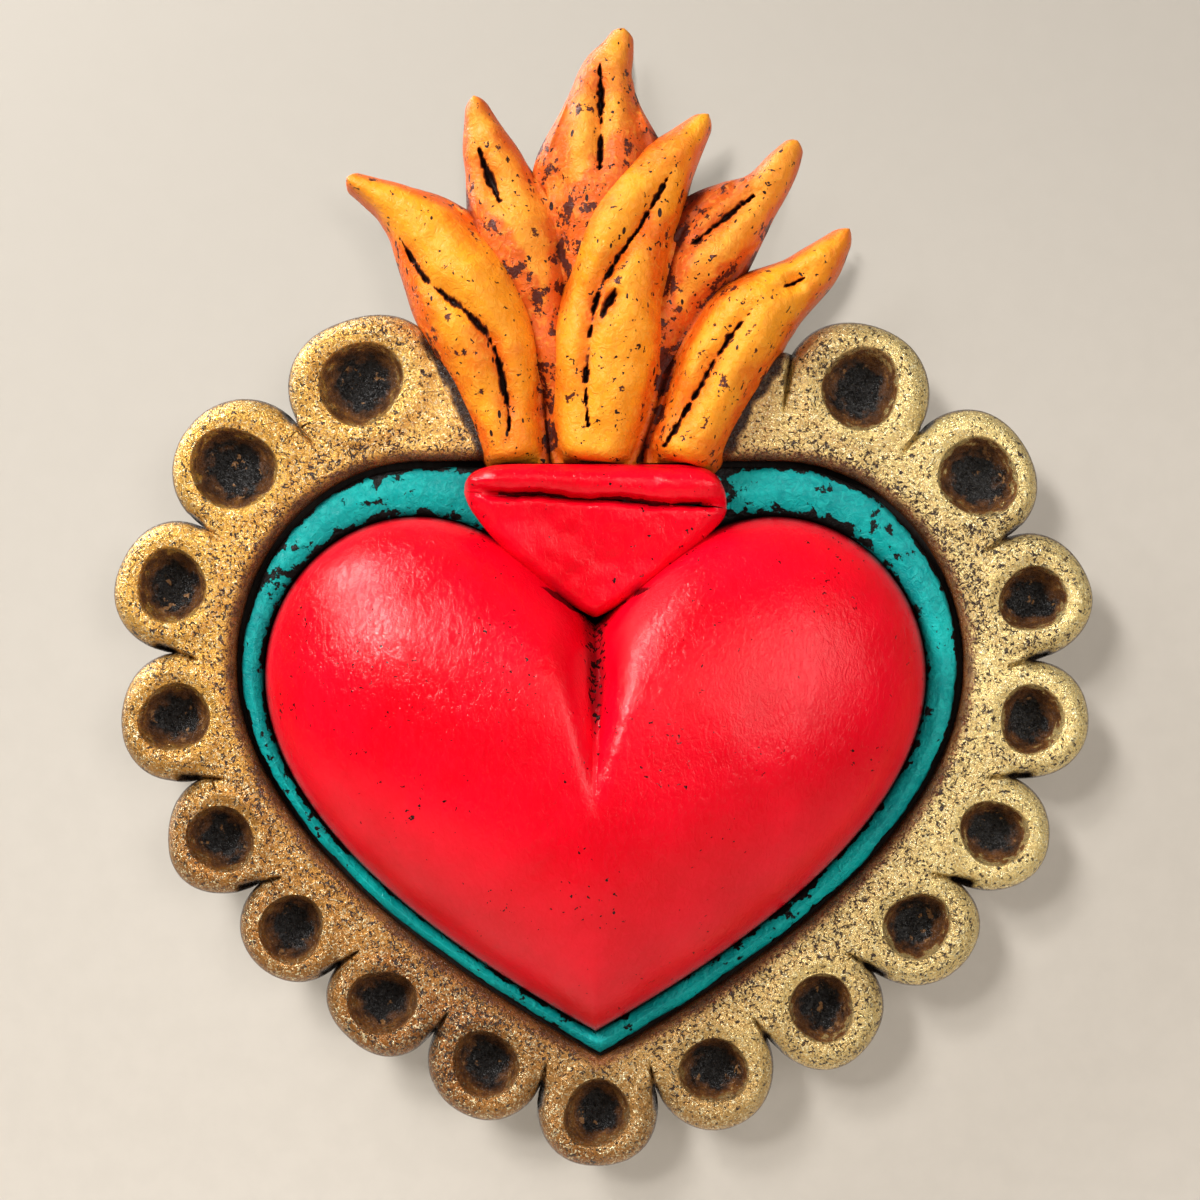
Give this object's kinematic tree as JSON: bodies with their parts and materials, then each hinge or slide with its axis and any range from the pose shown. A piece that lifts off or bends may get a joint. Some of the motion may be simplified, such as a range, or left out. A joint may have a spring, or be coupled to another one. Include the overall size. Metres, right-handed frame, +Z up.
{
  "type": "papier-mache sacred heart wall ornament",
  "caption": "Papier-mache wall heart with a bulging red heart, turquoise border, gilded scalloped rim, collar and flame tongues, hung by a swinging ring on its back.",
  "frame": {"origin": "on the back face that lies against the wall, on the ornament's centre line, near mid height", "axes": "+Z up along the flames, +Y into the wall, -Y towards the viewer, +X to the viewer's right"},
  "size_m": [0.1923, 0.0399, 0.2274],
  "materials": {
    "red_lacquer": "satin red paint over paper pulp",
    "gold_leaf": "worn gilding over paper pulp",
    "turquoise_paint": "chipped satin paint over paper pulp",
    "amber_paint": "satin paint over paper pulp",
    "orange_paint": "satin paint over paper pulp",
    "grey_card": "raw card",
    "kraft_paper": "raw brown paper",
    "newsprint": "crumpled newsprint",
    "aged_brass": "tarnished",
    "tack_steel": "dull"
  },
  "bodies": {
    "ornament": {"back_lining": "kraft_paper", "back_board": "grey_card", "core_board": "grey_card", "rim_band": "gold_leaf", "scallop_left_1": "gold_leaf", "scallop_left_2": "gold_leaf", "scallop_left_3": "gold_leaf", "scallop_left_4": "gold_leaf", "scallop_left_5": "gold_leaf", "scallop_left_6": "gold_leaf", "scallop_left_7": "gold_leaf", "scallop_left_8": "gold_leaf", "scallop_bottom": "gold_leaf", "scallop_right_8": "gold_leaf", "scallop_right_7": "gold_leaf", "scallop_right_6": "gold_leaf", "scallop_right_5": "gold_leaf", "scallop_right_4": "gold_leaf", "scallop_right_3": "gold_leaf", "scallop_right_2": "gold_leaf", "scallop_right_1": "gold_leaf", "turquoise_border": "turquoise_paint", "heart_shell": "red_lacquer", "heart_core": "newsprint", "collar_wedge": "red_lacquer", "collar_roll": "red_lacquer", "flame_front_left": "amber_paint", "flame_front_centre": "amber_paint", "flame_front_right": "amber_paint", "flame_rear_left": "orange_paint", "flame_rear_centre": "orange_paint", "flame_rear_right": "orange_paint", "hanger_strap": "aged_brass", "hanger_tack_upper": "tack_steel", "hanger_tack_lower": "tack_steel"},
    "ring": {"hanging_ring": "aged_brass"}
  },
  "joints": [
    {"name": "ring_swing", "type": "hinge", "parent": "ornament", "child": "ring", "pos_m": [0, -0.0028, 0.0412], "axis": [-1, 0, 0], "range_deg": [0, 180]}
  ]
}
